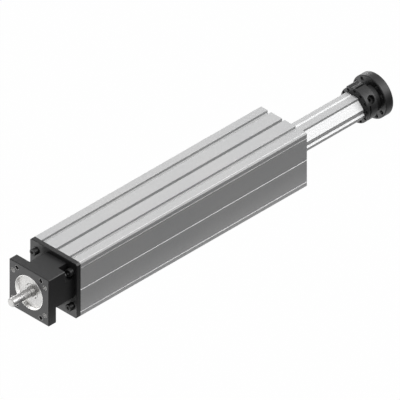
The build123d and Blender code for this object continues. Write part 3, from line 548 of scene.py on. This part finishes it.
def cut_adapter(points, start, disc, end):
    """Slot, slit, screw holes, face holes and disc holes of the adapter, each outlined on the
    surface as it was before the first cut."""
    x, y, z = (points[..., i].copy() for i in range(3))
    r = np.hypot(y, z)
    hub_end = start + HUB_LENGTH

    on_hub = (r > HUB_RADIUS - NEAR) & (x < hub_end)
    on_neck = (np.abs(r - NECK_RADIUS) < NEAR) & (x > hub_end + 2 * NEAR) & (x < disc - 2 * NEAR)
    on_top = (np.abs(y) < SLOT_HALF) & (z > 0)
    push(points, on_hub & on_top & (x > start + SLOT_START), (0, 0, 1), HUB_RADIUS - SLOT_DEPTH)
    push(points, on_neck & on_top, (0, 0, 1), NECK_RADIUS - SLOT_DEPTH / 2)

    degrees = np.degrees(np.arctan2(z, -y))
    in_slit = on_hub & (np.abs(x - start - SLIT_PLACE) < SLIT_HALF)
    in_slit &= (degrees > SLIT_DEGREES[0]) & (degrees < SLIT_DEGREES[1])
    points[in_slit, 1:] *= (HUB_RADIUS - SLIT_DEPTH) / HUB_RADIUS

    screws = np.array([corner.co for corner in nodes["adapter_set_screws"].data.vertices])
    near = screws[screws[:, 1] < 0].mean(axis=0)
    diagonal = np.array((0.0, -1.0, 1.0)) / math.sqrt(2)
    across = np.array((0.0, 1.0, 1.0)) / math.sqrt(2)
    for side in (1, -1):
        aside = y * across[1] + z * across[2] - side * near @ across
        distance = np.hypot(x - near[0], aside)
        faces_it = side * (y * diagonal[1] + z * diagonal[2]) > 0
        push(points, on_hub & faces_it & (distance < SCREW_HOLE_RADIUS), side * diagonal, SCREW_HOLE_FLOOR)

    on_face = np.abs(x - start) < SAME_PLACE
    for number in range(FACE_HOLES):
        angle = math.radians(360 / FACE_HOLES * number)
        distance = np.hypot(y - HOLE_RING * math.cos(angle), z - HOLE_RING * math.sin(angle))
        push(points, on_face & (distance < HOLE_RADIUS), (1, 0, 0), start + HOLE_DEPTH)

    for pattern in DISC_PATTERNS:
        radius = MOUNTS[pattern]["dims"]["hole_r_mm"] * MM
        for place in rectangle_places(MOUNTS[pattern]):
            distance = np.hypot(y - place[0], z - place[1])
            for level, inward in ((disc, 1), (end, -1)):
                inside = (distance < radius) & (np.abs(x - level) < SAME_PLACE)
                push(points, inside, (1, 0, 0), level + inward * (DISC_THICKNESS / 2 - NEAR))


tapped_walls()
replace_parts(adapter_surface(), "adapter")


# Floor, light and camera

# Floor: to gloss only, it fades to dark beside the part over a fade width from an edge, a place on Y; this
# is a painted darker reflection on the part's side, and the camera still sees the floor white
FLOOR_GREY = 0.20
FLOOR_GLOW = 0.97
GLOW_STRENGTH = 1.02
FLOOR_HALF = 6.0
FLOOR_GAP = 0.2 * MM
PAINTED_REFLECTION_EDGE = -0.060
PAINTED_REFLECTION_FADE = 0.026
PAINTED_REFLECTION_DARK = 0.08
AMBIENT = 0.185

# Camera: the photo's side and scale, and where the frame's origin lies in it, in picture elements
PICTURE = 400.0
PIXELS_A_METRE = 951.0
ORIGIN_PIXEL = (28.9, 292.7)
DOWNWARD_SINE = 0.5749
CAMERA_BACK = 2.0


def shown_rays(tree, in_gloss=1.0):
    """1 for rays that show the background: to the camera and through glass. In gloss it is in_gloss."""
    paths = tree.nodes.new("ShaderNodeLightPath")
    gloss = math_node(tree, "MULTIPLY", paths.outputs["Is Glossy Ray"], in_gloss)
    mirrored = math_node(tree, "MAXIMUM", gloss, paths.outputs["Is Transmission Ray"])
    return math_node(tree, "MAXIMUM", paths.outputs["Is Camera Ray"], mirrored)


def floor_painted_reflection(tree):
    """Painted reflection: in gloss only, the floor turns dark beside the part, so the part's side mirrors
    a darker floor.
    """
    fade = tree.nodes.new("ShaderNodeMapRange")
    tree.links.new(coordinate_parts(tree)["Y"], fade.inputs["Value"])
    fade.inputs["From Min"].default_value = PAINTED_REFLECTION_EDGE
    fade.inputs["From Max"].default_value = PAINTED_REFLECTION_EDGE + PAINTED_REFLECTION_FADE
    fade.inputs["To Min"].default_value = PAINTED_REFLECTION_DARK
    fade.inputs["To Max"].default_value = 1.0
    return fade.outputs["Result"]


def floor():
    """White floor: plain to the camera, darker in gloss beside the part as a painted reflection, with a
    faint shadow kept.
    """
    mesh = bpy.data.meshes.new("floor")
    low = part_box("frame_profile")[0][2] - FLOOR_GAP
    corners = [(x * FLOOR_HALF, y * FLOOR_HALF, low) for x, y in ((-1, -1), (1, -1), (1, 1), (-1, 1))]
    mesh.from_pydata(corners, [], [(0, 1, 2, 3)])
    ground = bpy.data.objects.new("floor", mesh)
    bpy.context.collection.objects.link(ground)
    material, tree, shader = new_material("floor_white")
    shader.inputs["Base Color"].default_value = (FLOOR_GREY, FLOOR_GREY, FLOOR_GREY, 1.0)
    shader.inputs["Roughness"].default_value = 0.9
    shader.inputs["Specular IOR Level"].default_value = 0.0
    # Painted reflection: the floor is darker only to gloss, beside the part
    seen = shown_rays(tree, floor_painted_reflection(tree))
    glow = tree.nodes.new("ShaderNodeEmission")
    glow.inputs["Strength"].default_value = GLOW_STRENGTH
    mix = tree.nodes.new("ShaderNodeMixShader")
    tree.links.new(math_node(tree, "MULTIPLY", seen, FLOOR_GLOW), mix.inputs[0])
    tree.links.new(shader.outputs[0], mix.inputs[1])
    tree.links.new(glow.outputs[0], mix.inputs[2])
    tree.links.new(mix.outputs[0], tree.nodes["Material Output"].inputs["Surface"])
    mesh.materials.append(material)
    ground.visible_shadow = False


def world():
    """Soft grey surroundings that the camera and gloss see as white."""
    sky = bpy.data.worlds.new("studio")
    sky.use_nodes = True
    tree = sky.node_tree
    background = tree.nodes["Background"]
    background.inputs["Color"].default_value = (1.0, 1.0, 1.0, 1.0)
    tree.links.new(between(tree, shown_rays(tree), AMBIENT, 1.0), background.inputs["Strength"])
    bpy.context.scene.world = sky


def aim(piece, direction):
    """Turn a lamp to shine along a direction."""
    piece.rotation_euler = Vector(direction).to_track_quat("-Z", "Y").to_euler()


def node_set(name, members):
    """Collection of some nodes, for a lamp's light linking."""
    chosen = bpy.data.collections.new(name)
    for member in members:
        chosen.objects.link(nodes[member])
    return chosen


def held_back_by(lamp, *names):
    """Only the named nodes hold back this lamp."""
    lamp.light_linking.blocker_collection = node_set(lamp.name + "_blockers", names)


def sun(name, towards, strength, angle, diffuse=True):
    """Distant lamp placed by the direction from the object towards it, over an angle in degrees."""
    lamp = bpy.data.lights.new(name, "SUN")
    lamp.energy = strength
    lamp.angle = math.radians(angle)
    piece = bpy.data.objects.new(name, lamp)
    bpy.context.collection.objects.link(piece)
    piece.visible_diffuse = diffuse
    aim(piece, -Vector(towards))
    return piece


def softbox(name, towards, distance, size, energy):
    """Square lamp that only shows in gloss, at a distance from the middle of the frame."""
    lamp = bpy.data.lights.new(name, "AREA")
    lamp.size = size
    lamp.energy = energy
    piece = bpy.data.objects.new(name, lamp)
    bpy.context.collection.objects.link(piece)
    piece.visible_diffuse = False
    direction = Vector(towards).normalized()
    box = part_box("frame_profile")
    piece.location = Vector(box[0]).lerp(Vector(box[1]), 0.5) + direction * distance
    aim(piece, -direction)
    return piece


def camera():
    """Parallel projection, 45 degrees to the left of the frame's side and 35 degrees down."""
    sine = DOWNWARD_SINE
    cosine = math.sqrt(1.0 - sine * sine)
    diagonal = math.sqrt(0.5)
    right = Vector((diagonal, -diagonal, 0.0))
    up = Vector((sine * diagonal, sine * diagonal, cosine))
    look = Vector((cosine * diagonal, cosine * diagonal, -sine))
    lens = bpy.data.cameras.new("camera")
    lens.type = "ORTHO"
    lens.ortho_scale = PICTURE / PIXELS_A_METRE
    lens.clip_end = 20.0
    piece = bpy.data.objects.new("camera", lens)
    bpy.context.collection.objects.link(piece)
    across = (PICTURE / 2 - ORIGIN_PIXEL[0]) / PIXELS_A_METRE
    above = (ORIGIN_PIXEL[1] - PICTURE / 2) / PIXELS_A_METRE
    place = right * across + up * above - look * CAMERA_BACK
    rows = [(right[i], up[i], -look[i], place[i]) for i in range(3)]
    piece.matrix_world = Matrix(rows + [(0.0, 0.0, 0.0, 1.0)])
    bpy.context.scene.camera = piece


floor()
world()
key = sun("front_key", towards=(-0.87, 0.36, -0.34), strength=2.35, angle=20.0)
held_back_by(
    key, "drive_housing", "end_plate", "end_plate_screws", "frame_profile", "feed_profile", "ball_screw")
sun("top_light", towards=(0.1, -0.10, 0.98), strength=1.73, angle=30.0)
side = softbox("side_softbox", towards=(0.58, -0.575, 0.58), distance=1.5, size=0.9, energy=14.0)
held_back_by(side, "feed_profile")
rim = sun("rim_light", towards=(0.58, 0.80, -0.16), strength=1.8, angle=40.0, diffuse=False)
held_back_by(rim, "frame_profile", "feed_profile")
recess = sun("recess_light", towards=(-0.35, -0.30, 0.89), strength=4.0, angle=20.0)
recess.light_linking.receiver_collection = node_set("recess_light_receivers", ["bearing_cover"])
held_back_by(recess, "ball_screw")
camera()
bpy.context.scene.view_settings.view_transform = "Standard"
